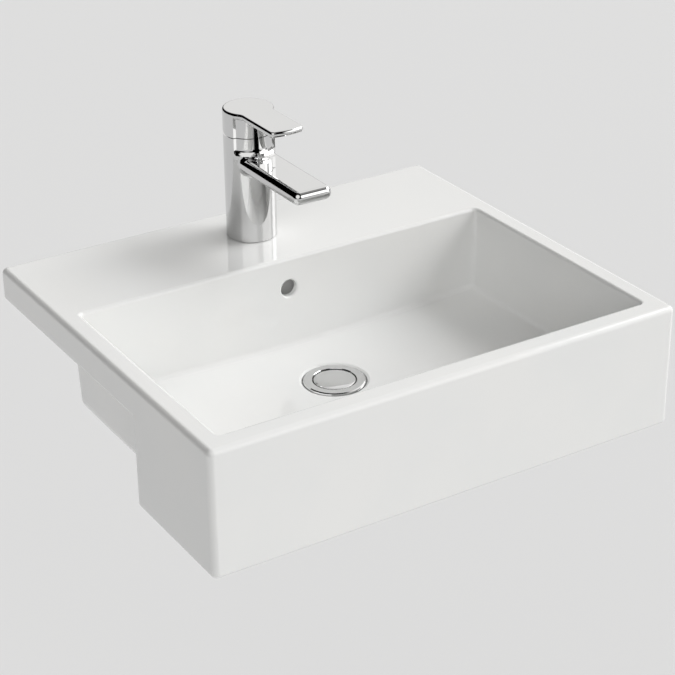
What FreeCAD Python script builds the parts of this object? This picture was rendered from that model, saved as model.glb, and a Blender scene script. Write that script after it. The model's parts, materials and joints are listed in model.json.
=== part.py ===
import FreeCAD, Part
import os
from math import cos, pi, radians, sin, sqrt, tan

# Semi-recessed washbasin with a single-lever mixer and a push-to-open waste.
# Millimetres. +Z is up, +Y points to the wall, +X to the right of a person at the basin.
# The origin lies on the worktop plane and on the centre plane, at the middle of the
# rear seat rail. The mixer's heights are counted from the top of the ledge.

RUNNING = 0.05             # gap between parts that run or screw in each other

# ---- basin: outside -----------------------------------------------------------------
WIDTH = 500.0
DEPTH = 430.0
SLAB = 34.0                # slab above the worktop
DROP = 92.0                # front block below the worktop plane
BLOCK_DEPTH = 145.0
RAIL = 24.0                # width of the rear and side seat rails behind the bowl
TOP_ROUND = 5.6
SIDE_ROUND = 5.8
BOTTOM_ROUND = 4.0
LEDGE_WALL = 12.0          # ceramic thickness of the ledge above the rear pocket
SKIRT_WALL = 17.0          # wall of the open foot under the front block
HOLLOW_CORNER = 8.0        # upright corners of the foot's hollow and of the rear pocket

WALL_Y = RAIL / 2
FRONT_Y = WALL_Y - DEPTH

# ---- basin: bowl --------------------------------------------------------------------
RIM = 21.5                 # rim beside the bowl
RIM_FRONT = 22.8
BOWL_LENGTH = 270.0
BOWL_DRAFT = 3.0           # inward lean of the side and front walls over the bowl's depth
BACK_DRAFT = 2.0
BOWL_CORNER = 4.5
BOWL_LOW_CORNER = 6.5
BOWL_FLOOR_ROUND = 5.0
RIM_ROUND = 3.5
SHELL = 9.0
FLOOR_SHELL = SHELL * 1.2
FLOOR_FALL = 0.045         # slope of the floor towards the waste
FLOOR_Z = -65.0            # floor beside the waste
FOOT_CEILING = FLOOR_Z + 8 # ceiling of the open foot beside the bowl's shell
BOWL_FRONT_Y = FRONT_Y + RIM_FRONT
BOWL_BACK_Y = BOWL_FRONT_Y + BOWL_LENGTH

# ---- waste --------------------------------------------------------------------------
WASTE_Y = FRONT_Y + 208.0
WASTE_HOLE_R = 22.75
WASTE_DISH_R = 35.0
WASTE_DISH_LIP = 1.2
FLANGE_R = 31.4
FLANGE_TOP = FLOOR_Z + 0.6
FLANGE_THICK = 4.0
FLANGE_BOTTOM = FLANGE_TOP - FLANGE_THICK
TAIL_R = 20.95             # G 1 1/4
TAIL_BORE = 18.6
TAIL_END = -140.0
TOP_SEAL = 1.6
SEAT_Z = FLANGE_BOTTOM - TOP_SEAL
GALLERY_TOP = SEAT_Z - 4.0
GALLERY_BOTTOM = GALLERY_TOP - 10.0
GALLERY_R = 30.0
BOSS_BOTTOM = -91.0
BOSS_R = 38.0
LOWER_SEAL = 6.0
SEAL_PLAY = 0.1
BACK_NUT = 10.0
SLOT_HALF = 6.0            # slots in the tail that drain the overflow's gallery
RELIEF_GAP = 0.5           # thread shown below the back nut
RELIEF_WIDE = 2.0          # groove that parts the back nut's thread from the trap's
RELIEF_DEEP = 0.75

# ---- overflow -----------------------------------------------------------------------
OVERFLOW_Z = 0.5
OVERFLOW_R = 9.0
OVERFLOW_LIP = 2.2
DUCT_HALF = 17.0
DUCT_DEEP = 9.0
DUCT_ROUND = 4.0
SPINE_HALF = DUCT_HALF + 8.0
SPINE_WALL = 7.0           # behind the duct
BACK_WALL = 8.0            # between the bowl and the duct

# ---- plug and push-to-open mechanism ------------------------------------------------
PLUG_R = 21.75
PLUG_SINK = 2.0
PLUG_DOME = 1.1
PLUG_SEAT = FLANGE_TOP - PLUG_SINK + 0.1
PLUG_NECK = TAIL_BORE - 1.0
PLUG_GROOVE = TAIL_BORE - 2.6
STEM_R = 2.4
STEM_TOP = PLUG_SEAT - 1.5
BARREL_R = 6.0
BARREL_BORE = 4.6
BARREL_TOP = -79.0
BARREL_BOTTOM = -116.0
BAR_TOP = -88.0            # bar across the tail that carries the mechanism
BAR_THICK = 4.0
BAR_HALF = 3.0
CLICKER_HEX = 15.0
PISTON_Z = -104.0

# ---- mixer: column and spout (heights above the ledge) -------------------------------
TAP_Y = FRONT_Y + 366.0
COLUMN_R = 26.0
COLUMN_H = 111.0
COLUMN_LIFT = 0.3          # the column stands on its gasket, clear of the ledge
GASKET_R = 24.0
GASKET_BORE = 19.2
GASKET_H = 2.3
NECK_R = 23.3              # front of the column, set back under the lever
NECK_HALF = 23.6           # half width of the set-back front
NECK_BACK = 11.0           # the set-back reaches to this far in front of the axis
NECK_CORNER = 6.0
SPOUT_TOP = 91.0
SPOUT_THICK = 14.0
SPOUT_HALF = 21.0
SPOUT_REACH = 126.0
SPOUT_ROUND = 6.4
SWEEP = 9.0                # concave sweep from the neck down onto the spout
ROOT_ROUND = 6.0           # fillet between spout and column
AERATOR_REACH = 107.0
AERATOR_R = 11.0
AERATOR_H = 7.2            # housing, from the spout's underside up
AERATOR_ROOF = SPOUT_TOP - 4.2
WATERWAY_HALF = 9.0
TAP_HOLE_R = 17.5
BASE_HOLLOW_R = 16.5
BASE_HOLLOW = 28.0
INLET_X = 7.5
INLET_Y = 3.0
INLET_R = 4.6              # M10 x 1
INLET_DEPTH = 12.0
PASSAGE_R = 3.2
STUD_Y = -10.5
STUD_R = 4.0               # M8
STUD_TOP = 42.0
STUD_BOTTOM = -52.0
CLAMP_RUBBER = 3.0
CLAMP_PLATE = 2.5
CLAMP_SLOT = 13.5          # half width of the slot for the hoses

# ---- mixer: cartridge ---------------------------------------------------------------
CART_SEAT = 88.0
CART_R = 17.4
CART_SHOULDER = 106.0
CART_NECK_R = 12.5
CART_NECK_TOP = 118.0
CART_NECK_BORE = 10.1
NUT_R = 18.5               # M37 x 1.5
PORT_R = 3.4
OUTLET_Y = -9.0
KEY_X = 13.5               # two locating pins under the cartridge
KEY_Y = -4.0
KEY_R = 1.5
RING_R = 5.15              # port seals
RING_H = 1.5
BASE_TOP = CART_SEAT + 4.0
FIXED_TOP = BASE_TOP + 3.2
MOVING_TOP = FIXED_TOP + 3.0
CARRIER_TOP = MOVING_TOP + 4.8
DISC_R = 10.8
PIN_H = 112.0              # pivot of the lever
PIN_R = 1.5
TIP_DROP = 11.0            # spindle tip below the pivot pin
SPINDLE_HALF = 3.0
SPINDLE_SHOULDER = 119.5
SPINDLE_TOP = 132.5

# ---- mixer: lever -------------------------------------------------------------------
LEVER_BOTTOM = COLUMN_H + 0.8
LEVER_TOP = 137.5
LEVER_LIFT = 20.0
PADDLE_HALF = 18.5
PADDLE_REACH = 78.5
PADDLE_THICK = 6.2
PADDLE_CORNER = 4.5
PADDLE_ROUND = 2.6
PADDLE_NECK = 9.0
PADDLE_BOW = 1.5           # the tip bows forward in the middle
HOOD_BORE = 20.8
HOOD_CEILING = 126.0
SQUARE = 7.0
SCREW_H = 129.5
SCREW_R = 2.5
LEVER_PLUG_R = 3.3


# ---- small helpers ------------------------------------------------------------------
CUT = 1.0                  # how far a cutting tool runs past the face that it opens


def vec(x, y, z):
    return FreeCAD.Vector(x, y, z)


def box(x0, x1, y0, y1, z0, z1):
    return Part.makeBox(x1 - x0, y1 - y0, z1 - z0, vec(x0, y0, z0))


def cyl(r, z0, z1, x=0.0, y=0.0):
    return Part.makeCylinder(r, z1 - z0, vec(x, y, z0))


def tube(r_out, r_in, z0, z1, x=0.0, y=0.0):
    return cyl(r_out, z0, z1, x, y).cut(cyl(r_in, z0 - CUT, z1 + CUT, x, y))


def bar_x(r, x0, x1, y, z):
    return Part.makeCylinder(r, x1 - x0, vec(x0, y, z), vec(1, 0, 0))


def bar_y(r, y0, y1, x, z):
    return Part.makeCylinder(r, y1 - y0, vec(x, y0, z), vec(0, 1, 0))


def lathe(profile, x=0.0, y=0.0):
    """Turn a closed (radius, z) outline about the vertical axis through x, y."""
    points = [vec(x + r, y, z) for r, z in profile]
    face = Part.Face(Part.makePolygon(points + points[:1]))
    return face.revolve(vec(x, y, 0), vec(0, 0, 1), 360)


def hexagon(across_flats, z0, z1, x=0.0, y=0.0):
    """Hexagonal prism with its corners chamfered at both ends."""
    r = across_flats / sqrt(3)
    points = [vec(x + r * cos(k * pi / 3), y + r * sin(k * pi / 3), z0) for k in range(7)]
    prism = Part.Face(Part.makePolygon(points)).extrude(vec(0, 0, z1 - z0))
    inward = min(1.2, (z1 - z0) / 4)
    down = inward * tan(radians(30))
    outline = [
        (0, z0), (r - inward, z0), (r, z0 + down),
        (r, z1 - down), (r - inward, z1), (0, z1),
    ]
    return prism.common(lathe(outline, x, y))


def round_rect(x0, x1, y0, y1, r, z):
    """Wire of a rectangle with round corners at height z."""
    d = r * (1 - sqrt(0.5))
    edges = [
        Part.LineSegment(vec(x0 + r, y0, z), vec(x1 - r, y0, z)),
        Part.Arc(vec(x1 - r, y0, z), vec(x1 - d, y0 + d, z), vec(x1, y0 + r, z)),
        Part.LineSegment(vec(x1, y0 + r, z), vec(x1, y1 - r, z)),
        Part.Arc(vec(x1, y1 - r, z), vec(x1 - d, y1 - d, z), vec(x1 - r, y1, z)),
        Part.LineSegment(vec(x1 - r, y1, z), vec(x0 + r, y1, z)),
        Part.Arc(vec(x0 + r, y1, z), vec(x0 + d, y1 - d, z), vec(x0, y1 - r, z)),
        Part.LineSegment(vec(x0, y1 - r, z), vec(x0, y0 + r, z)),
        Part.Arc(vec(x0, y0 + r, z), vec(x0 + d, y0 + d, z), vec(x0 + r, y0, z)),
    ]
    return Part.Wire([edge.toShape() for edge in edges])


def fillet(shape, radius, wanted):
    """Round the edges for which wanted(middle point, edge) is true."""
    picked = []
    for edge in shape.Edges:
        first, last = edge.ParameterRange
        if wanted(edge.valueAt((first + last) / 2), edge):
            picked.append(edge)
    return shape.makeFillet(radius, picked)


def near(a, b, tolerance=0.01):
    return abs(a - b) < tolerance


def upright(middle, edge):
    return not near(edge.Vertexes[0].Z, edge.Vertexes[-1].Z)


def join(*shapes):
    result = shapes[0]
    for shape in shapes[1:]:
        result = result.fuse(shape)
    return result.removeSplitter()


def raised(shape):
    """Move a mixer part from ledge heights to its place on the basin."""
    moved = shape.copy()
    moved.translate(vec(0, TAP_Y, SLAB))
    return moved


# ---- basin --------------------------------------------------------------------------
def bowl_form(grow):
    """The bowl's hollow (grow = 0), or the outside of its shell (grow = SHELL)."""
    floor = FLOOR_Z - grow * FLOOR_SHELL / SHELL
    top, low = SLAB + CUT, FLOOR_Z - grow - 6 * CUT
    lean = BOWL_DRAFT * (top - low) / (SLAB - FLOOR_Z)
    back_lean = BACK_DRAFT * (top - low) / (SLAB - FLOOR_Z)
    half = WIDTH / 2 - RIM + grow
    front, back = BOWL_FRONT_Y - grow, BOWL_BACK_Y + grow
    low_corner = BOWL_LOW_CORNER + grow
    upper = round_rect(-half, half, front, back, BOWL_CORNER + grow, top)
    lower = round_rect(-half + lean, half - lean, front + lean, back - back_lean, low_corner, low)
    walls = Part.makeLoft([upper, lower], True, True)
    flat_r, far_r = WASTE_DISH_R, WIDTH
    under = [
        (0, low - CUT), (0, floor), (flat_r, floor),
        (far_r, floor + FLOOR_FALL * (far_r - flat_r)), (far_r, low - CUT),
    ]
    form = walls.cut(lathe(under, 0, WASTE_Y))

    def bottom_edge(middle, edge):
        """Edges between the walls and the sloping floor, outside the flat round the waste."""
        ends = [(v.X, v.Y - WASTE_Y, v.Z) for v in edge.Vertexes]
        return all(z < FLOOR_Z / 2 and sqrt(x * x + y * y) > flat_r + CUT for x, y, z in ends)

    return fillet(form, BOWL_FLOOR_ROUND + grow, bottom_edge)


def outer_body():
    """Slab over the worktop and the block in front of it, with the outer edges rounded."""
    half, block_back = WIDTH / 2, FRONT_Y + BLOCK_DEPTH

    def outer_bottom(middle, edge):
        return near(middle.z, -DROP) or (near(middle.z, 0) and middle.y > block_back + 1)

    slab = fillet(box(-half, half, FRONT_Y, WALL_Y, 0, SLAB), SIDE_ROUND, upright)
    block = fillet(box(-half, half, FRONT_Y, block_back, -DROP, SLAB), SIDE_ROUND, upright)
    body = fillet(join(slab, block), TOP_ROUND, lambda middle, edge: near(middle.z, SLAB))
    return fillet(body, BOTTOM_ROUND, outer_bottom)


def sink_bowl(body, bowl):
    """Cut the bowl into the body and round its rim."""
    def rim_edge(middle, edge):
        beside = abs(middle.x) < WIDTH / 2 - RIM / 2
        return near(middle.z, SLAB) and beside and FRONT_Y + RIM / 2 < middle.y < BOWL_BACK_Y + RIM / 2

    return fillet(body.cut(bowl), RIM_ROUND, rim_edge)


def make_hollows():
    """Open foot under the block and pocket under the ledge, before the bowl's shell crosses them."""
    foot_half, pocket_half = WIDTH / 2 - SKIRT_WALL, WIDTH / 2 - RAIL
    foot_front, foot_back = FRONT_Y + SKIRT_WALL, FRONT_Y + BLOCK_DEPTH - SKIRT_WALL
    foot = box(-foot_half, foot_half, foot_front, foot_back, -DROP - CUT, FOOT_CEILING)
    pocket = box(-pocket_half, pocket_half, BOWL_BACK_Y, WALL_Y - RAIL, -CUT, SLAB - LEDGE_WALL)
    return [fillet(hollow, HOLLOW_CORNER, upright) for hollow in (foot, pocket)]


def make_backing(shell):
    """Bowl's shell, the overflow's spine behind it, and the keel and boss under the waste."""
    inside_ledge = SLAB - LEDGE_WALL / 4 * 3
    boss_top = FLOOR_Z - 4
    spine_front = BOWL_BACK_Y - SHELL
    spine_back = BOWL_BACK_Y + BACK_WALL + DUCT_DEEP + SPINE_WALL
    spine = box(-SPINE_HALF, SPINE_HALF, spine_front, spine_back, BOSS_BOTTOM, inside_ledge)
    spine = fillet(spine, SPINE_WALL, lambda middle, edge: near(middle.y, spine_back) and middle.z < 1)
    keel = box(-SPINE_HALF, SPINE_HALF, WASTE_Y, BOWL_BACK_Y, BOSS_BOTTOM, boss_top)
    boss = cyl(BOSS_R, BOSS_BOTTOM, boss_top, 0, WASTE_Y)
    kept = box(-WIDTH / 2, WIDTH / 2, FRONT_Y, WALL_Y, -DROP, inside_ledge)
    return join(shell.common(kept), spine, keel, boss)


def waterways():
    """Cutting tools for the waste's seat and hole, and for the overflow's mouth, duct and gallery."""
    seat_r = FLANGE_R + 1.2
    dish = lathe([
        (0, SEAT_Z), (seat_r, SEAT_Z), (seat_r, FLOOR_Z - WASTE_DISH_LIP),
        (WASTE_DISH_R, FLOOR_Z), (WASTE_DISH_R, FLOOR_Z + CUT), (0, FLOOR_Z + CUT),
    ], 0, WASTE_Y)
    hole = cyl(WASTE_HOLE_R, BOSS_BOTTOM - CUT, SEAT_Z + CUT, 0, WASTE_Y)
    gallery = cyl(GALLERY_R, GALLERY_BOTTOM, GALLERY_TOP, 0, WASTE_Y)
    duct_front = BOWL_BACK_Y + BACK_WALL - 2
    duct_back = duct_front + DUCT_DEEP
    duct_top = OVERFLOW_Z + OVERFLOW_R + DUCT_ROUND
    duct = box(-DUCT_HALF, DUCT_HALF, duct_front, duct_back, GALLERY_BOTTOM, duct_top)

    def duct_shoulder(middle, edge):
        return near(abs(middle.x), DUCT_HALF) and near(middle.z, duct_top)

    duct = fillet(duct, DUCT_ROUND, duct_shoulder)
    run = box(-DUCT_HALF, DUCT_HALF, WASTE_Y, duct_back, GALLERY_BOTTOM, GALLERY_TOP)
    mouth = bar_y(OVERFLOW_R, BOWL_BACK_Y - SHELL, duct_front + DUCT_DEEP / 2, 0, OVERFLOW_Z)
    return dish, hole, gallery, duct, run, mouth


def make_basin(bowl, shell):
    body = sink_bowl(outer_body(), bowl)
    for hollow in make_hollows():
        body = body.cut(hollow.cut(shell))
    body = join(body, make_backing(shell).cut(bowl))
    for tool in waterways():
        body = body.cut(tool)

    def overflow_lip(middle, edge):
        ring = near(sqrt(middle.x ** 2 + (middle.z - OVERFLOW_Z) ** 2), OVERFLOW_R, 0.05)
        return ring and BOWL_BACK_Y - BACK_WALL < middle.y < BOWL_BACK_Y + CUT

    body = fillet(body, OVERFLOW_LIP, overflow_lip)
    return body.cut(cyl(TAP_HOLE_R, 0, SLAB + CUT, 0, TAP_Y)).removeSplitter()


# ---- waste --------------------------------------------------------------------------
def make_waste_flange():
    top, low = FLANGE_TOP, FLANGE_BOTTOM
    relief = BOSS_BOTTOM - LOWER_SEAL - BACK_NUT - RELIEF_GAP
    groove_r = TAIL_R - RELIEF_DEEP
    seat_r = PLUG_R + 0.45
    body = lathe([
        (TAIL_BORE, top - PLUG_SINK), (seat_r, top - PLUG_SINK), (seat_r, top - 0.4),
        (seat_r + 0.4, top), (FLANGE_R - 1.8, top), (FLANGE_R - 0.5, top - 0.6),
        (FLANGE_R, top - 1.6), (FLANGE_R, low), (TAIL_R, low), (TAIL_R, relief),
        (groove_r, relief), (groove_r, relief - RELIEF_WIDE), (TAIL_R, relief - RELIEF_WIDE),
        (TAIL_R, TAIL_END + 1.5), (TAIL_R - 1.2, TAIL_END), (TAIL_BORE, TAIL_END),
    ], 0, WASTE_Y)
    for k in range(4):
        slot = box(0, TAIL_R + 5, -SLOT_HALF, SLOT_HALF, GALLERY_BOTTOM, GALLERY_TOP)
        slot.rotate(vec(0, 0, 0), vec(0, 0, 1), 45 + 90 * k)
        slot.translate(vec(0, WASTE_Y, 0))
        body = body.cut(slot)
    reach, low = TAIL_BORE + 0.8, BAR_TOP - BAR_THICK
    bar = box(-reach, reach, WASTE_Y - BAR_HALF, WASTE_Y + BAR_HALF, low, BAR_TOP)
    hub = cyl(BARREL_R + BAR_HALF, low, BAR_TOP, 0, WASTE_Y)
    return join(body, bar, hub).cut(cyl(BARREL_R, low - CUT, BAR_TOP + CUT, 0, WASTE_Y))


def make_waste_top_seal():
    return tube(FLANGE_R - 1, TAIL_R + SEAL_PLAY, SEAT_Z, FLANGE_BOTTOM, 0, WASTE_Y)


def make_waste_lower_seal():
    """Seal with its lower edge tapered to the back nut's washer."""
    top, low = BOSS_BOTTOM, BOSS_BOTTOM - LOWER_SEAL
    inner, outer = TAIL_R + SEAL_PLAY, BOSS_R - 6
    return lathe([(inner, top), (outer, top), (outer, top - 2.5), (outer - 3, low), (inner, low)], 0, WASTE_Y)


def make_waste_back_nut():
    top = BOSS_BOTTOM - LOWER_SEAL
    low, washer_low = top - BACK_NUT, top - 2.5
    washer = cyl(BOSS_R - 7, washer_low, top, 0, WASTE_Y)
    body = join(washer, hexagon(52, low, washer_low, 0, WASTE_Y))
    return body.cut(cyl(TAIL_R + RUNNING, low - CUT, top + CUT, 0, WASTE_Y))


def make_plug_cap():
    """Domed cap with a groove for its seal and a boss for the stem."""
    edge = FLANGE_TOP - 0.2
    crown = FLANGE_TOP + PLUG_DOME
    under = PLUG_SEAT - 3.5
    groove_top, groove_low = PLUG_SEAT - 0.9, PLUG_SEAT - 2.9
    dome_r = PLUG_R - 0.6
    ball = (dome_r ** 2 + (crown - edge) ** 2) / (2 * (crown - edge))
    steps = 6
    rings = [dome_r * (steps - k) / steps for k in range(steps + 1)]
    dome = [(r, crown - ball + sqrt(ball ** 2 - r ** 2)) for r in rings]
    body = lathe([
        (0, under), (PLUG_NECK, under), (PLUG_NECK, groove_low), (PLUG_GROOVE, groove_low),
        (PLUG_GROOVE, groove_top), (PLUG_NECK, groove_top), (PLUG_NECK, PLUG_SEAT),
        (PLUG_R, PLUG_SEAT), (PLUG_R, edge - 0.4),
    ] + dome, 0, WASTE_Y)
    boss = cyl(BARREL_BORE, PLUG_SEAT - 8, PLUG_SEAT - 3, 0, WASTE_Y)
    return join(body, boss).cut(cyl(STEM_R, PLUG_SEAT - 9, STEM_TOP, 0, WASTE_Y))


def make_plug_seal():
    """Ring of round section, flattened where it meets the groove and the bore."""
    section_r = 0.95
    ring = Part.makeTorus((TAIL_BORE + PLUG_GROOVE) / 2 - 0.15, section_r, vec(0, WASTE_Y, PLUG_SEAT - 1.9))
    return ring.common(tube(TAIL_BORE, PLUG_GROOVE, PLUG_SEAT - 4, PLUG_SEAT, 0, WASTE_Y))


def make_clicker_barrel():
    body = cyl(BARREL_R - RUNNING, BARREL_BOTTOM, BARREL_TOP, 0, WASTE_Y)
    collar = hexagon(CLICKER_HEX, BAR_TOP, BAR_TOP + 3.5, 0, WASTE_Y)
    bore = cyl(BARREL_BORE, BARREL_BOTTOM + 2, BARREL_TOP - 3, 0, WASTE_Y)
    way_out = cyl(STEM_R + 0.1, BARREL_TOP - 4, BARREL_TOP + CUT, 0, WASTE_Y)
    return join(body, collar).cut(bore).cut(way_out)


def make_clicker_stem():
    """Rod that carries the plug, on a piston with tapered ends."""
    low, high, piston_r = PISTON_Z - 3, PISTON_Z + 3.5, BARREL_BORE - 0.1
    rod = cyl(STEM_R, PISTON_Z, STEM_TOP, 0, WASTE_Y)
    piston = lathe([
        (0, low), (piston_r - 0.6, low), (piston_r, low + 0.7),
        (piston_r, high - 1), (piston_r - 0.9, high), (0, high),
    ], 0, WASTE_Y)
    return join(rod, piston)


def make_clicker_spring():
    """Compression spring under the piston, closed plug."""
    low, high = BARREL_BOTTOM + 2.5, PISTON_Z - 3.5
    wire_r, coil_r = 0.4, 3.4
    turns, sides = 4, 8
    helix = Part.makeHelix((high - low) / turns, high - low, coil_r)
    around = [2 * pi * (k + 0.5) / sides for k in range(sides)]
    section = [vec(coil_r + wire_r * cos(turn), 0, wire_r * sin(turn)) for turn in around]
    spring = helix.makePipeShell([Part.makePolygon(section + section[:1])], True, True)
    spring.translate(vec(0, WASTE_Y, low))
    return spring


def make_clicker_locknut():
    top = BAR_TOP - BAR_THICK
    low = top - 4
    return hexagon(CLICKER_HEX, low, top, 0, WASTE_Y).cut(cyl(BARREL_R, low - CUT, top + CUT, 0, WASTE_Y))


# ---- mixer body ---------------------------------------------------------------------
def make_spout_bar():
    low = SPOUT_TOP - SPOUT_THICK
    bar = box(-SPOUT_HALF, SPOUT_HALF, -SPOUT_REACH, 0, low, SPOUT_TOP)
    return fillet(bar, SPOUT_ROUND, lambda middle, edge: middle.y < -0.01)


def neck_sweep():
    """Neck under the lever, sweeping out onto the spout's top."""
    foot, steps = SPOUT_TOP, 10
    low, high = foot - 2, COLUMN_H + 30
    arc = []
    for k in range(steps + 1):
        turn = radians(90 * k / steps)
        arc.append((NECK_R + SWEEP - SWEEP * sin(turn), foot + SWEEP - SWEEP * cos(turn)))
    return lathe([(0, low), (NECK_R + SWEEP, low)] + arc + [(NECK_R, high), (0, high)])


def neck_cutter(z0, z1):
    """Tool that sets the column's front back, from z0 to z1, with round lower corners."""
    def lower_corner(middle, edge):
        return near(abs(middle.x), NECK_HALF) and near(middle.z, z0)

    front = -2 * COLUMN_R
    cutter = box(-NECK_HALF, NECK_HALF, front, -NECK_BACK, z0, z1 + NECK_CORNER * 2)
    return fillet(cutter, NECK_CORNER, lower_corner).common(box(-COLUMN_R, COLUMN_R, front, 0, z0, z1))


def column_hollows():
    """Gasket groove, base hollow, stud thread, inlets and the way up to the cartridge."""
    play = 0.2
    tools = [
        cyl(BASE_HOLLOW_R, 0, BASE_HOLLOW),
        tube(GASKET_R + play, GASKET_BORE - play, 0, GASKET_H),
        cyl(STUD_R, BASE_HOLLOW - CUT, STUD_TOP + CUT, 0, STUD_Y),
        cyl(CART_R + RUNNING, CART_SEAT, COLUMN_H + CUT),
        cyl(NUT_R, CART_SHOULDER, COLUMN_H + CUT),
    ]
    for side in (-1, 1):
        x = side * INLET_X
        tools.append(cyl(INLET_R, BASE_HOLLOW - CUT, BASE_HOLLOW + INLET_DEPTH, x, INLET_Y))
        tools.append(cyl(PASSAGE_R, BASE_HOLLOW, CART_SEAT + CUT, x, INLET_Y))
        tools.append(cyl(KEY_R + 0.1, CART_SEAT - 3.2, CART_SEAT + CUT, side * KEY_X, KEY_Y))
    return tools


def spout_hollows():
    """Waterway from the cartridge's outlet to the aerator, and the aerator's seat."""
    spout_low = SPOUT_TOP - SPOUT_THICK
    way_low, way_high = spout_low + 3.2, CART_SEAT - 3.5
    half = WATERWAY_HALF
    way = box(-half, half, -AERATOR_REACH, OUTLET_Y + 4, way_low, way_high)
    return [
        fillet(way, 2, lambda middle, edge: near(abs(middle.x), half)),
        cyl(PORT_R, way_low + CUT, CART_SEAT + CUT, 0, OUTLET_Y),
        cyl(AERATOR_R, spout_low - CUT, AERATOR_ROOF, 0, -AERATOR_REACH),
    ]


def make_mixer_body():
    body = join(cyl(COLUMN_R, COLUMN_LIFT, COLUMN_H), make_spout_bar())

    def root_edge(middle, edge):
        on_column = near(sqrt(middle.x ** 2 + middle.y ** 2), COLUMN_R, 0.05)
        at_spout = SPOUT_TOP - SPOUT_THICK - 0.1 < middle.z < SPOUT_TOP + 0.1
        return on_column and at_spout and middle.y < -5

    body = fillet(body, ROOT_ROUND, root_edge)
    body = body.cut(neck_cutter(SPOUT_TOP, COLUMN_H + CUT).cut(neck_sweep()))
    body = fillet(body, 0.8, lambda middle, edge: near(middle.z, COLUMN_LIFT) and edge.Length > 50)
    for tool in column_hollows() + spout_hollows():
        body = body.cut(tool)
    return raised(body)


def make_base_gasket():
    return raised(tube(GASKET_R, GASKET_BORE, 0, GASKET_H))


def make_fixing_stud():
    stud = cyl(STUD_R, STUD_BOTTOM, STUD_TOP, 0, STUD_Y)
    rims = [edge for edge in stud.Edges if edge.Length > 2 * pi * STUD_R - 1 and edge.Closed]
    return raised(stud.makeChamfer(0.8, rims))


def horseshoe(z0, z1, r):
    """Plate with a slot for the hoses, open to the wall side, and a hole for the stud."""
    half, centre = CLAMP_SLOT, INLET_Y + 0.5
    low, high = z0 - CUT, z1 + CUT
    slot = join(cyl(half, low, high, 0, centre), box(-half, half, centre, 2 * r, low, high))
    return cyl(r, z0, z1).cut(slot).cut(cyl(STUD_R + 0.3, low, high, 0, STUD_Y))


def make_clamp_rubber():
    top = -LEDGE_WALL
    return raised(horseshoe(top - CLAMP_RUBBER, top, COLUMN_R + 1))


def make_clamp_plate():
    top = -LEDGE_WALL - CLAMP_RUBBER
    return raised(horseshoe(top - CLAMP_PLATE, top, COLUMN_R))


def make_stud_nut():
    top = -LEDGE_WALL - CLAMP_RUBBER - CLAMP_PLATE
    low = top - 16
    nut = hexagon(11, low, top, 0, STUD_Y)
    return raised(nut.cut(cyl(STUD_R + RUNNING, low - CUT, top + CUT, 0, STUD_Y)))


# ---- aerator ------------------------------------------------------------------------
def make_aerator_housing():
    """Ring screwed into the spout, with four notches for the key and an inward lip at its foot."""
    low = SPOUT_TOP - SPOUT_THICK
    top, outer = low + AERATOR_H, AERATOR_R - RUNNING
    lip_r, bore_r, lip_top = 9.0, 9.4, low + 0.6
    body = lathe([
        (lip_r, low - 1.4), (10.4, low - 1.4), (outer, low - 0.7),
        (outer, top), (bore_r, top), (bore_r, lip_top), (lip_r, lip_top),
    ], 0, -AERATOR_REACH)
    for k in range(4):
        notch = box(lip_r - CUT, AERATOR_R + CUT, -1.2, 1.2, low - 2, low - 0.9)
        notch.rotate(vec(0, 0, 0), vec(0, 0, 1), 90 * k)
        notch.translate(vec(0, -AERATOR_REACH, 0))
        body = body.cut(notch)
    return raised(body)


def make_aerator_core():
    """Jet former: a plug with a square grid of channels inside a round border."""
    low = SPOUT_TOP - SPOUT_THICK
    core = cyl(9.3, low + 0.7, low + AERATOR_H, 0, -AERATOR_REACH)
    pitch, hole, border, rows = 2.2, 0.75, 7.6, 3
    places = [pitch * k for k in range(-rows, rows + 1)]
    for x in places:
        for y in places:
            if sqrt(x * x + y * y) < border:
                mid = y - AERATOR_REACH
                core = core.cut(box(x - hole, x + hole, mid - hole, mid + hole, low, low + AERATOR_H + CUT))
    return raised(core)


def make_aerator_seal():
    low = SPOUT_TOP - SPOUT_THICK + AERATOR_H
    return raised(tube(10.6, 7.8, low, AERATOR_ROOF, 0, -AERATOR_REACH))


# ---- cartridge ----------------------------------------------------------------------
def port_places():
    return [(-INLET_X, INLET_Y), (INLET_X, INLET_Y), (0, OUTLET_Y)]


def make_cartridge_base():
    body = cyl(CART_R, CART_SEAT, BASE_TOP)
    for x, y in port_places():
        body = body.cut(cyl(PORT_R, CART_SEAT - CUT, BASE_TOP + CUT, x, y))
        body = body.cut(cyl(RING_R + RUNNING, CART_SEAT - CUT, CART_SEAT + RING_H, x, y))
    for side in (-1, 1):
        body = join(body, cyl(KEY_R, CART_SEAT - 3, CART_SEAT + CUT, side * KEY_X, KEY_Y))
    return raised(body)


def make_cartridge_seals():
    rings = [tube(RING_R, PORT_R, CART_SEAT, CART_SEAT + RING_H, x, y) for x, y in port_places()]
    return raised(Part.makeCompound(rings))


def make_fixed_disc():
    disc = cyl(14.8, BASE_TOP, FIXED_TOP)
    for x, y in port_places():
        disc = disc.cut(cyl(2.6, BASE_TOP - CUT, FIXED_TOP + CUT, x, y))
    return raised(disc)


def make_moving_disc():
    """Disc with a blind chamber that joins the inlets to the outlet."""
    disc = cyl(DISC_R, FIXED_TOP, MOVING_TOP)
    return raised(disc.cut(cyl(5.0, FIXED_TOP - CUT, FIXED_TOP + 1.6, 0, -2)))


def make_disc_carrier():
    """Block on the moving disc with the socket for the spindle's round tip."""
    socket_x, socket_y = SPINDLE_HALF + 0.15, SPINDLE_HALF - 0.25
    socket = box(-socket_x, socket_x, -socket_y, socket_y, MOVING_TOP - CUT, CARRIER_TOP + CUT)
    return raised(cyl(DISC_R, MOVING_TOP, CARRIER_TOP).cut(socket))


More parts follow.
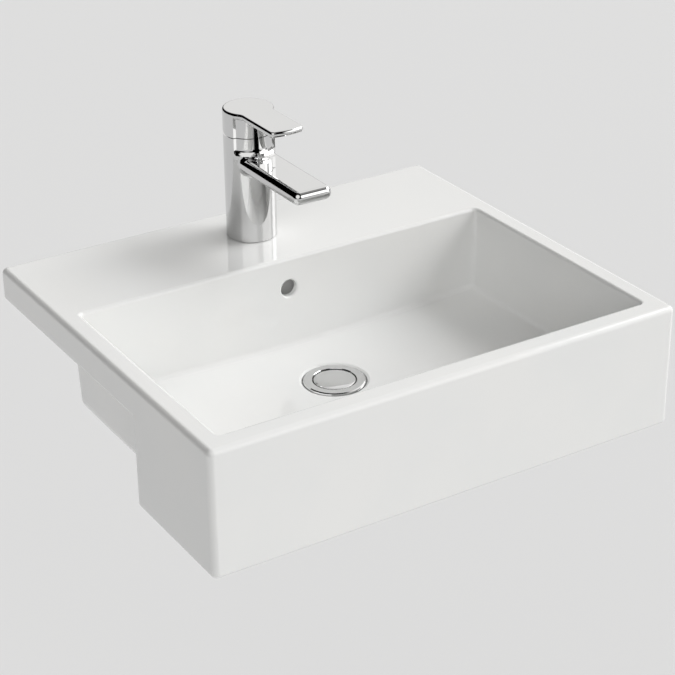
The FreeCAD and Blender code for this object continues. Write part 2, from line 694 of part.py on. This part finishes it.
def make_cartridge_rotor():
    """Sleeve that turns with the lever and carries its pivot pin."""
    low, high = CARRIER_TOP + 0.4, CART_NECK_TOP - 0.4
    flange = cyl(14.6, low, CART_SHOULDER - 2 - RUNNING)
    stem = cyl(CART_NECK_BORE - RUNNING, low, high)
    slot_x, slot_y = SPINDLE_HALF + 0.3, 7.6
    slot = box(-slot_x, slot_x, -slot_y, slot_y, low - CUT, high + CUT)
    return raised(join(flange, stem).cut(slot).cut(bar_x(PIN_R, -NUT_R, NUT_R, 0, PIN_H)))


def make_pivot_pin():
    half = CART_NECK_BORE - 0.5
    return raised(bar_x(PIN_R, -half, half, 0, PIN_H))


def make_cartridge_spindle():
    """Square for the lever, a bar through the rotor, a waist and a round tip in the carrier."""
    half, tip_half, tip_h = SPINDLE_HALF, SPINDLE_HALF - 0.1, PIN_H - TIP_DROP
    waist_top = tip_h + 3
    bar = box(-half, half, -half, half, waist_top, SPINDLE_SHOULDER)
    square = box(-SQUARE / 2, SQUARE / 2, -SQUARE / 2, SQUARE / 2, SPINDLE_SHOULDER, SPINDLE_TOP)
    tip = bar_x(2.6, -tip_half, tip_half, 0, tip_h)
    waist = box(-tip_half, tip_half, -2.0, 2.0, tip_h, waist_top)
    body = join(bar, square, tip, waist)
    return raised(body.cut(bar_x(PIN_R + RUNNING, -NUT_R, NUT_R, 0, PIN_H)))


def make_cartridge_housing():
    body = join(cyl(CART_R, BASE_TOP, CART_SHOULDER), cyl(CART_NECK_R, BASE_TOP, CART_NECK_TOP))
    body = body.cut(cyl(15.0, BASE_TOP - CUT, CART_SHOULDER - 2))
    return raised(body.cut(cyl(CART_NECK_BORE, BASE_TOP, CART_NECK_TOP + CUT)))


def make_cartridge_nut():
    """Ring screwed into the column, with a hexagon for the spanner."""
    thread_top, head_top = COLUMN_H - 0.5, COLUMN_H + 3
    ring = cyl(NUT_R - RUNNING, CART_SHOULDER, thread_top)
    head = hexagon(30, thread_top - 0.5, head_top)
    return raised(join(ring, head).cut(cyl(CART_NECK_R + RUNNING, CART_SHOULDER - CUT, head_top + CUT)))


def make_cartridge_cover():
    """Chromed ring over the nut's hexagon."""
    low, step, top = COLUMN_H + 0.2, COLUMN_H + 3, COLUMN_H + 5
    outer, skirt_bore, bore = 18.6, 17.6, CART_NECK_R + 0.4
    body = lathe([
        (skirt_bore, low), (outer, low), (outer, top - 2), (outer - 0.7, top - 0.6),
        (outer - 2, top), (bore, top), (bore, step), (skirt_bore, step),
    ])
    return raised(body)


# ---- lever --------------------------------------------------------------------------
def paddle_outline(z):
    """Disc over the column and the paddle in front of it, joined by a concave neck."""
    disc_r, half, neck = COLUMN_R, PADDLE_HALF, PADDLE_NECK
    centre_x = half + neck
    centre_y = -sqrt((disc_r + neck) ** 2 - centre_x ** 2)
    touch_x = centre_x * disc_r / (disc_r + neck)
    touch_y = centre_y * disc_r / (disc_r + neck)
    tip, corner = -PADDLE_REACH, PADDLE_CORNER
    slant = corner * (1 - sqrt(0.5))
    turn = vec(touch_x - centre_x, touch_y - centre_y, 0).normalize()
    inner = vec(-1, 0, 0)
    middle = (turn + inner).normalize() * neck
    edges = [Part.Arc(vec(-touch_x, touch_y, z), vec(0, disc_r, z), vec(touch_x, touch_y, z))]
    edges.append(Part.Arc(
        vec(touch_x, touch_y, z),
        vec(centre_x + middle.x, centre_y + middle.y, z),
        vec(half, centre_y, z),
    ))
    edges.append(Part.LineSegment(vec(half, centre_y, z), vec(half, tip + corner, z)))
    edges.append(Part.Arc(
        vec(half, tip + corner, z),
        vec(half - slant, tip + slant, z),
        vec(half - corner, tip, z),
    ))
    edges.append(Part.Arc(
        vec(half - corner, tip, z),
        vec(0, tip - PADDLE_BOW, z),
        vec(corner - half, tip, z),
    ))
    edges.append(Part.Arc(
        vec(corner - half, tip, z),
        vec(slant - half, tip + slant, z),
        vec(-half, tip + corner, z),
    ))
    edges.append(Part.LineSegment(vec(-half, tip + corner, z), vec(-half, centre_y, z)))
    edges.append(Part.Arc(
        vec(-half, centre_y, z),
        vec(-centre_x - middle.x, centre_y + middle.y, z),
        vec(-touch_x, touch_y, z),
    ))
    return Part.Wire([edge.toShape() for edge in edges])


def skirt_relief():
    """Wedge off the rear of the skirt, so that it clears the column when the lever is lifted."""
    half, far = 2 * COLUMN_R, COLUMN_R + 5
    low = COLUMN_H - 5
    start = PIN_H - (PIN_H - COLUMN_H - 0.3) / cos(radians(LEVER_LIFT))
    high = start + far * tan(radians(LEVER_LIFT))
    outline = [vec(-half, 0, low), vec(-half, 0, start), vec(-half, far, high), vec(-half, far, low)]
    return Part.Face(Part.makePolygon(outline + outline[:1])).extrude(vec(2 * half, 0, 0))


def make_lever():
    """Paddle on a hood that covers the cartridge, with a square socket and a screw behind it."""
    low, middle_h = LEVER_TOP - PADDLE_THICK, LEVER_TOP - PADDLE_THICK / 2

    def rim(middle, edge):
        return near(middle.z, low) or near(middle.z, LEVER_TOP)

    plate = Part.Face(paddle_outline(low)).extrude(vec(0, 0, PADDLE_THICK))
    plate = fillet(plate, PADDLE_ROUND, rim)
    front = neck_cutter(LEVER_BOTTOM - 20, middle_h + CUT).cut(cyl(NECK_R, 0, LEVER_TOP + 10))
    body = join(plate, cyl(COLUMN_R, LEVER_BOTTOM, middle_h).cut(front)).cut(skirt_relief())

    boss = cyl(8.0, HOOD_CEILING - 3.5, HOOD_CEILING + CUT)
    cavity = cyl(HOOD_BORE, COLUMN_H - 5, HOOD_CEILING).cut(boss)
    half = SQUARE / 2 + RUNNING
    socket = box(-half, half, -half, half, HOOD_CEILING - 10, SPINDLE_TOP + 0.5)
    far = COLUMN_R + 2
    screw_way = bar_y(SCREW_R, 0, far, 0, SCREW_H)
    plug_way = bar_y(LEVER_PLUG_R, COLUMN_R - 4.5, far, 0, SCREW_H)
    for tool in (cavity, socket, screw_way, plug_way):
        body = body.cut(tool)
    return raised(body)


def make_lever_grub_screw():
    """Screw against the spindle's square, with its key socket to the rear."""
    start, end = SQUARE / 2 + RUNNING, 13.5
    key_way = bar_y(1.3, end - 3, end + CUT, 0, SCREW_H)
    return raised(bar_y(SCREW_R - RUNNING, start, end, 0, SCREW_H).cut(key_way))


def make_lever_plug():
    return raised(bar_y(LEVER_PLUG_R - 0.1, COLUMN_R - 4.4, COLUMN_R - 0.4, 0, SCREW_H))


# ---- write every piece --------------------------------------------------------------
def main():
    os.makedirs("parts", exist_ok=True)
    bowl, shell = bowl_form(0), bowl_form(SHELL)
    pieces = {
        "basin": make_basin(bowl, shell),
        "waste_flange": make_waste_flange(),
        "waste_top_seal": make_waste_top_seal(),
        "waste_lower_seal": make_waste_lower_seal(),
        "waste_back_nut": make_waste_back_nut(),
        "plug_cap": make_plug_cap(),
        "plug_seal": make_plug_seal(),
        "clicker_barrel": make_clicker_barrel(),
        "clicker_stem": make_clicker_stem(),
        "clicker_spring": make_clicker_spring(),
        "clicker_locknut": make_clicker_locknut(),
        "mixer_body": make_mixer_body(),
        "base_gasket": make_base_gasket(),
        "fixing_stud": make_fixing_stud(),
        "clamp_rubber": make_clamp_rubber(),
        "clamp_plate": make_clamp_plate(),
        "stud_nut": make_stud_nut(),
        "aerator_housing": make_aerator_housing(),
        "aerator_core": make_aerator_core(),
        "aerator_seal": make_aerator_seal(),
        "cartridge_base": make_cartridge_base(),
        "cartridge_seals": make_cartridge_seals(),
        "fixed_disc": make_fixed_disc(),
        "moving_disc": make_moving_disc(),
        "disc_carrier": make_disc_carrier(),
        "cartridge_rotor": make_cartridge_rotor(),
        "pivot_pin": make_pivot_pin(),
        "cartridge_spindle": make_cartridge_spindle(),
        "cartridge_housing": make_cartridge_housing(),
        "cartridge_nut": make_cartridge_nut(),
        "cartridge_cover": make_cartridge_cover(),
        "lever": make_lever(),
        "lever_grub_screw": make_lever_grub_screw(),
        "lever_plug": make_lever_plug(),
    }
    for name, shape in pieces.items():
        count = len(shape.Solids)
        print(f"{name:18s} solids {count}  valid {shape.isValid()}  volume {shape.Volume / 1000:.2f} cm3")
        shape.exportStep(f"parts/{name}.step")


main()
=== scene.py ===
import json
from math import cos, pi, radians, sin

import bmesh
import bpy
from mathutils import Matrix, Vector


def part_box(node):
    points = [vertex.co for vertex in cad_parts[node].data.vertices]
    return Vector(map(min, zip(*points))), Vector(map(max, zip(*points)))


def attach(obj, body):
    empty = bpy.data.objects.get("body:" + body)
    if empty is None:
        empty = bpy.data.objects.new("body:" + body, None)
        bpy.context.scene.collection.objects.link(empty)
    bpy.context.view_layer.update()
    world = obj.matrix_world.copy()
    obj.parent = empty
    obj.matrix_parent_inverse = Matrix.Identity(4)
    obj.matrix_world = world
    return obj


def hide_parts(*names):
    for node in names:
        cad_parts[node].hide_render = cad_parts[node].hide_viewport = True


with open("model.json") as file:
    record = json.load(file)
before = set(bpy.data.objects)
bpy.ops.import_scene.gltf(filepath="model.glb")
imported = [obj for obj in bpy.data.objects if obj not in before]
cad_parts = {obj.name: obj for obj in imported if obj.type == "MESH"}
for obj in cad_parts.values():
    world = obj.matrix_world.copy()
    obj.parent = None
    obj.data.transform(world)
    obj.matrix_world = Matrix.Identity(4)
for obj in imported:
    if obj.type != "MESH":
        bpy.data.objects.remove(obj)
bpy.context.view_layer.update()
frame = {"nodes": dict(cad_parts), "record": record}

# ---- the view and the studio, in metres ----------------------------------------------
MM = 0.001
TAIL_R = 20.95 * MM                         # the waste's threaded tail
TAIL_PITCH = 2.31 * MM
TAIL_RIDGE = 0.3 * MM
STUD_PITCH = 1.25 * MM
STUD_RIDGE = 0.18 * MM
RIDGE_ROOT = 0.1 * MM                       # depth of a ridge's root in its rod

PLUG_R = 20.9 * MM
PLUG_CROWN = 0.9 * MM                       # top of the dome above the flange
PLUG_DROP = 1.4 * MM                        # from the crown to the rim
DOME_STEPS = 8
RIM_FLAT = 0.5 * MM                         # rounded edge between the dome and the plug's side
RIM_ROUND = 0.15 * MM
SEAT_DROP = 1.9 * MM                        # plug's underside below the flange
NECK_R = 17.6 * MM
GROOVE_R = 16.0 * MM                        # groove for the plug's O-ring
GROOVE_TOP = 0.9 * MM                       # these depths are below the plug's underside
GROOVE_BOTTOM = 2.9 * MM
NECK_FOOT = 3.5 * MM
BOSS_R = 4.6 * MM
BOSS_FOOT = 8 * MM

RING_GAP = 0.05 * MM                        # between the plug and the dark ring that paints the gap's shade
RING_R = 22.15 * MM
RING_DROP = 2.0 * MM                        # ring's foot below the flange
RING_OUTER_RISE = 0.9 * MM
RING_INNER_RISE = 0.7 * MM
SMOOTH_LIMIT = 30                           # degrees between faces that shade as one

CAMERA_PLACE = (-0.8656, -1.6162, 0.8264)
CAMERA_TURN = (62.897, 0.545, -32.010)      # degrees about X, Y and Z
LENS = 101.53
SENSOR = 36.0
FLOOR_Z = -0.86                             # room floor under a basin at worktop height
FLOOR_TONE = 0.30
FLOOR_GLOW = 0.45
FLOOR_SIZE = 40
HIGH_EDGE = (0.79, 0.88)                    # cosines where a window starts and where it is full
LOW_EDGE = (0.82, 0.92)
NARROW_EDGE = (0.90, 0.95)
WINDOWS = {                                 # direction from the basin, edge, strength
    "front_left_high": ((-0.50, -0.60, 0.62), HIGH_EDGE, 1.14),
    "back_right_high": ((0.58, 0.58, 0.58), HIGH_EDGE, 0.77),
    "right_high": ((0.81, 0.0, 0.58), HIGH_EDGE, 0.34),
    "front_right_low": ((0.665, -0.665, 0.34), NARROW_EDGE, 1.90),
    "right_low": ((0.94, 0.0, 0.34), LOW_EDGE, 0.22),
    "back_right_low": ((0.665, 0.665, 0.34), LOW_EDGE, 0.24),
}
LAMPS = {                                   # direction, spread in degrees, watts per square metre
    "lamp_front_right": ((0.73, -0.20, 0.65), 28, 1.21),
    "lamp_right": ((0.90, 0.05, 0.44), 22, 0.47),
}


# ---- small node helpers ---------------------------------------------------------------
class Tree:
    """Adds nodes to one material or world, and links them."""

    def __init__(self, owner):
        owner.use_nodes = True
        self.tree = owner.node_tree
        self.tree.nodes.clear()

    def add(self, kind, inputs=None, **settings):
        node = self.tree.nodes.new(kind)
        for key, value in settings.items():
            setattr(node, key, value)
        for key, value in (inputs or {}).items():
            self.set(node.inputs[key], value)
        return node

    def set(self, socket, value):
        if isinstance(value, bpy.types.NodeSocket):
            self.tree.links.new(value, socket)
        else:
            socket.default_value = value

    def math(self, operation, a, b=0.0, c=0.0):
        node = self.add("ShaderNodeMath", operation=operation)
        for socket, value in zip(node.inputs, (a, b, c)):
            self.set(socket, value)
        return node.outputs[0]

    def step(self, value, low, high, to_low=0.0, to_high=1.0):
        """Smooth step of a value from low to high."""
        node = self.add("ShaderNodeMapRange", interpolation_type="SMOOTHSTEP")
        for key, item in zip(("Value", "From Min", "From Max", "To Min", "To Max"),
                             (value, low, high, to_low, to_high)):
            self.set(node.inputs[key], item)
        return node.outputs[0]

    def mix(self, share, a, b):
        node = self.add("ShaderNodeMix", data_type="RGBA")
        for key, item in zip((0, 6, 7), (share, a, b)):
            self.set(node.inputs[key], item)
        return node.outputs[2]

    def noise(self, scale, detail=3.0, rough=0.5, stretch=(1, 1, 1), kind="ShaderNodeTexNoise"):
        place = self.add("ShaderNodeTexCoord").outputs["Object"]
        mapped = self.add("ShaderNodeMapping", {"Vector": place, "Scale": stretch})
        return self.add(kind, {"Vector": mapped.outputs[0], "Scale": scale, "Detail": detail,
                               "Roughness": rough}).outputs[0]

    def bump(self, height, strength, distance, normal=None):
        inputs = {"Height": height, "Strength": strength, "Distance": distance}
        if normal is not None:
            inputs["Normal"] = normal
        return self.add("ShaderNodeBump", inputs).outputs[0]

    def principled(self, **inputs):
        named = {key.replace("_", " "): value for key, value in inputs.items()}
        shader = self.add("ShaderNodeBsdfPrincipled", named)
        out = self.add("ShaderNodeOutputMaterial")
        self.tree.links.new(shader.outputs[0], out.inputs[0])
        return shader


def grey(value, alpha=1.0):
    return (value, value, value, alpha)


# ---- materials ------------------------------------------------------------------------
def ceramic():
    """White glazed china: a wavy glaze on a body that is bare where the basin is bedded."""
    material = bpy.data.materials.new("ceramic")
    t = Tree(material)
    geometry = t.add("ShaderNodeNewGeometry")
    facing = t.add("ShaderNodeSeparateXYZ", {"Vector": geometry.outputs["Normal"]})
    place = t.add("ShaderNodeSeparateXYZ", {"Vector": geometry.outputs["Position"]})
    down = t.step(facing.outputs["Z"], -0.99, -0.93, 1.0, 0.0)
    on_seat = t.step(t.math("ABSOLUTE", place.outputs["Z"]), 0.0006, 0.0016, 1.0, 0.0)
    on_foot = t.step(place.outputs["Z"], -0.0915, -0.0905, 1.0, 0.0)
    bare = t.math("MULTIPLY", down, t.math("MAXIMUM", on_seat, on_foot))
    tone = t.step(t.noise(9.0, 2.0), 0.3, 0.7)
    glaze = t.mix(tone, (0.895, 0.90, 0.895, 1), (0.915, 0.915, 0.905, 1))
    speck = t.step(t.noise(900.0, 1.0), 0.78, 0.84)
    glaze = t.mix(t.math("MULTIPLY", speck, 0.10), glaze, (0.55, 0.52, 0.47, 1))
    biscuit = t.mix(t.noise(220.0, 4.0, 0.7), (0.74, 0.70, 0.63, 1), (0.83, 0.80, 0.74, 1))
    waves = t.bump(t.noise(26.0, 1.0), 0.10, 0.0006)
    skin = t.bump(t.noise(420.0, 2.0), 0.03, 0.0003, waves)
    grit = t.bump(t.noise(1500.0, 3.0, 0.7), 0.5, 0.0003)
    normal = t.add("ShaderNodeMix", {0: bare, 4: skin, 5: grit}, data_type="VECTOR")
    gloss = t.step(t.noise(60.0, 3.0), 0.3, 0.8, 0.045, 0.085)
    t.principled(
        Base_Color=t.mix(bare, glaze, biscuit),
        Roughness=t.math("ADD", gloss, t.math("MULTIPLY", bare, 0.75)),
        IOR=1.52, Normal=normal.outputs[1],
    )
    return material


def chrome():
    """Polished plate with wipe marks and the faint ripple that polishing leaves."""
    material = bpy.data.materials.new("chrome")
    t = Tree(material)
    wipe = t.step(t.noise(34.0, 5.0, 0.6, (1, 1, 3)), 0.45, 0.75, 0.025, 0.075)
    tint = t.mix(t.noise(12.0, 2.0), (0.65, 0.652, 0.655, 1), (0.69, 0.69, 0.69, 1))
    ripple = t.bump(t.noise(70.0, 1.0), 0.04, 0.0004)
    t.principled(Base_Color=tint, Metallic=1.0, Roughness=wipe, Normal=ripple)
    return material


def turned_metal(name, dark, light, rough):
    """Plain machined metal with fine tool marks round its vertical axis."""
    material = bpy.data.materials.new(name)
    t = Tree(material)
    marks = t.noise(90.0, 6.0, 0.65, (0.4, 0.4, 30))
    stain = t.noise(55.0, 4.0, 0.6)
    t.principled(
        Base_Color=t.mix(t.step(stain, 0.3, 0.75), dark, light), Metallic=1.0,
        Roughness=t.step(marks, 0.3, 0.7, rough - 0.07, rough + 0.12),
        Normal=t.bump(marks, 0.25, 0.0002),
    )
    return material


def moulded(name, low, high, rough, grain=700.0, gloss=0.5):
    """Moulded rubber or plastic with a fine grain."""
    material = bpy.data.materials.new(name)
    t = Tree(material)
    cloud = t.noise(40.0, 4.0, 0.6)
    t.principled(
        Base_Color=t.mix(cloud, low, high),
        Roughness=t.step(cloud, 0.2, 0.8, rough - 0.06, rough + 0.08),
        Specular_IOR_Level=gloss, Normal=t.bump(t.noise(grain, 3.0), 0.25, 0.0002),
    )
    return material


def make_materials():
    return {
        "ceramic": ceramic(),
        "chrome": chrome(),
        "brass": turned_metal("brass", (0.60, 0.42, 0.17, 1), (0.78, 0.60, 0.30, 1), 0.30),
        "steel": turned_metal("steel", grey(0.42), grey(0.60), 0.32),
        "rubber": moulded("rubber", grey(0.018), grey(0.035), 0.62),
        "plastic_dark": moulded("plastic_dark", (0.03, 0.035, 0.045, 1), (0.05, 0.055, 0.07, 1), 0.45),
        "plastic_white": moulded("plastic_white", grey(0.70), grey(0.78), 0.40),
        "plastic_grey": moulded("plastic_grey", grey(0.30), grey(0.38), 0.42),
        "plug_plastic": moulded("plug_plastic", grey(0.45), grey(0.52), 0.22, 300.0),
        "disc_ceramic": moulded("disc_ceramic", (0.72, 0.70, 0.64, 1), (0.80, 0.78, 0.73, 1), 0.18, 1600.0),
    }


def dress(materials):
    """Give every CAD node the material of its slot."""
    slots = {part["node"]: part["material_slot"] for part in frame["record"]["subparts"]}
    for name, node in frame["nodes"].items():
        node.data.materials.clear()
        node.data.materials.append(materials[slots[name]])


# ---- pieces modelled here ----------------------------------------------------------------
def piece_from(mesh, name, material):
    """Object of a finished bmesh, with its faces turned outwards."""
    bmesh.ops.recalc_face_normals(mesh, faces=mesh.faces)
    data = bpy.data.meshes.new(name)
    mesh.to_mesh(data)
    mesh.free()
    piece = bpy.data.objects.new(name, data)
    bpy.context.scene.collection.objects.link(piece)
    data.materials.append(material)
    return piece


def thread(name, centre, radius, pitch, height, low, high, material, sides=48):
    """Helical ridge of an outside thread round a vertical rod, tapering off at both ends."""
    mesh = bmesh.new()
    count = int(sides * (high - low) / pitch)
    rows = []
    for k in range(count + 1):
        turn = 2 * pi * k / sides
        z = low + (high - low) * k / count
        fade = min(1.0, k / sides, (count - k) / sides)
        crest = radius + height * fade
        section = ((radius - RIDGE_ROOT, -0.44 * pitch), (crest, -0.07 * pitch),
                   (crest, 0.07 * pitch), (radius - RIDGE_ROOT, 0.44 * pitch))
        rows.append([mesh.verts.new((centre[0] + r * cos(turn), centre[1] + r * sin(turn), z + dz))
                     for r, dz in section])
    for a, b in zip(rows, rows[1:]):
        for k in range(4):
            n = (k + 1) % 4
            mesh.faces.new((a[k], a[n], b[n], b[k]))
    mesh.faces.new(rows[0][::-1])
    mesh.faces.new(rows[-1])
    return piece_from(mesh, name, material)


def make_threads(materials):
    """Screw threads on the waste's tail, for the trap, and on the mixer's fixing stud."""
    tail_low, tail_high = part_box("waste_flange")
    nut_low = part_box("waste_back_nut")[0]
    centre = [(a + b) / 2 for a, b in zip(tail_low, tail_high)]
    low, high = tail_low[2] + 2.5 * MM, nut_low[2] - 4.5 * MM
    tail = thread("waste_thread", centre, TAIL_R, TAIL_PITCH, TAIL_RIDGE, low, high,
                  materials["chrome"], 72)
    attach(tail, "basin")

    stud_low, stud_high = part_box("fixing_stud")
    nut_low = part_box("stud_nut")[0]
    centre = [(a + b) / 2 for a, b in zip(stud_low, stud_high)]
    radius = (stud_high[0] - stud_low[0]) / 2
    low, high = stud_low[2] + 1.5 * MM, nut_low[2] - 0.8 * MM
    stud = thread("stud_thread", centre, radius, STUD_PITCH, STUD_RIDGE, low, high, materials["steel"])
    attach(stud, "basin")


def turned(name, profile, centre, material, sides=160):
    """Solid of revolution about a vertical axis, from (radius, height) points.

    The profile starts and ends on the axis, or it is a closed loop that stays clear of it.
    """
    mesh = bmesh.new()
    turns = [2 * pi * k / sides for k in range(sides)]
    rings = []
    for radius, z in profile:
        if radius == 0:
            rings.append([mesh.verts.new((centre[0], centre[1], z))] * sides)
        else:
            rings.append([mesh.verts.new((centre[0] + radius * cos(a), centre[1] + radius * sin(a), z))
                          for a in turns])
    starts_on_axis = profile[0][0] == 0
    if not starts_on_axis:
        rings.append(rings[0])
    for a, b in zip(rings, rings[1:]):
        for k in range(sides):
            n = (k + 1) % sides
            corners = dict.fromkeys((a[k], b[k], b[n], a[n]))
            mesh.faces.new(tuple(corners))
    piece = piece_from(mesh, name, material)
    piece.data.shade_smooth()
    piece.data.set_sharp_from_angle(angle=radians(SMOOTH_LIMIT))
    return piece


def make_plug(materials):
    """Domed plug cap standing clear of its seat, with a dark ring at the foot of the gap: painted shade for
    the gap.
    """
    low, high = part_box("waste_flange")
    centre = [(a + b) / 2 for a, b in zip(low, high)]
    top = high[2]
    crown = top + PLUG_CROWN
    rim = crown - PLUG_DROP
    seat = top - SEAT_DROP
    shares = [k / DOME_STEPS for k in range(DOME_STEPS)]
    cap = [(PLUG_R * share, crown - PLUG_DROP * share ** 2) for share in shares]
    cap += [
        (PLUG_R - RIM_FLAT, rim), (PLUG_R - RIM_ROUND, rim - RIM_ROUND), (PLUG_R, rim - RIM_FLAT),
        (PLUG_R, seat), (NECK_R, seat),
        (NECK_R, seat - GROOVE_TOP), (GROOVE_R, seat - GROOVE_TOP),
        (GROOVE_R, seat - GROOVE_BOTTOM), (NECK_R, seat - GROOVE_BOTTOM),
        (NECK_R, seat - NECK_FOOT), (BOSS_R, seat - NECK_FOOT),
        (BOSS_R, seat - BOSS_FOOT), (0, seat - BOSS_FOOT),
    ]
    plug = turned("plug_cap_shown", cap, centre, materials["chrome"])
    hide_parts("plug_cap")
    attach(plug, "plug")

    # Dark rubber ring at the foot of the gap round the plug: painted shade that darkens the gap.
    inner, foot = PLUG_R + RING_GAP, top - RING_DROP
    loop = [(inner, foot), (RING_R, foot), (RING_R, foot + RING_OUTER_RISE), (inner, foot + RING_INNER_RISE)]
    ring = turned("gap_shade_ring", loop, centre, materials["rubber"])
    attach(ring, "basin")


# ---- studio ---------------------------------------------------------------------------
def make_camera():
    data = bpy.data.cameras.new("camera")
    data.lens = LENS
    data.sensor_width = SENSOR
    camera = bpy.data.objects.new("camera", data)
    camera.location = CAMERA_PLACE
    camera.rotation_euler = [radians(turn) for turn in CAMERA_TURN]
    bpy.context.scene.collection.objects.link(camera)
    bpy.context.scene.camera = camera


def make_lamps():
    """Two broad, distant lamps on the right."""
    for name, (toward, spread, strength) in LAMPS.items():
        data = bpy.data.lights.new(name, "SUN")
        data.energy = strength
        data.angle = radians(spread)
        light = bpy.data.objects.new(name, data)
        light.rotation_euler = Vector(toward).to_track_quat("Z", "Y").to_euler()
        bpy.context.scene.collection.objects.link(light)


def make_floor():
    """Plain pale floor, the same all over."""
    bpy.ops.mesh.primitive_plane_add(size=FLOOR_SIZE, location=(0, 0, FLOOR_Z))
    floor = bpy.context.active_object
    floor.name = "floor"
    material = bpy.data.materials.new("floor")
    Tree(material).principled(Base_Color=grey(FLOOR_TONE), Roughness=0.9, Emission_Color=grey(1.0),
                              Emission_Strength=FLOOR_GLOW)
    floor.data.materials.append(material)


def make_world():
    """Dim room with large soft windows."""
    world = bpy.data.worlds.new("studio")
    bpy.context.scene.world = world
    t = Tree(world)
    toward = t.add("ShaderNodeTexCoord").outputs["Generated"]
    strength = 0.0
    for direction, (start, full), power in WINDOWS.values():
        product = t.add("ShaderNodeVectorMath", {0: toward, 1: direction}, operation="DOT_PRODUCT")
        window = t.step(product.outputs["Value"], start, full, 0.0, power)
        strength = t.math("ADD", strength, window)
    background = t.add("ShaderNodeBackground", {"Color": (1.0, 0.995, 0.98, 1), "Strength": strength})
    out = t.add("ShaderNodeOutputWorld")
    t.tree.links.new(background.outputs[0], out.inputs[0])


def make_studio():
    make_floor()
    make_world()
    make_lamps()
    bpy.context.scene.view_settings.view_transform = "Standard"


make_camera()
make_studio()
materials = make_materials()
dress(materials)
make_threads(materials)
make_plug(materials)
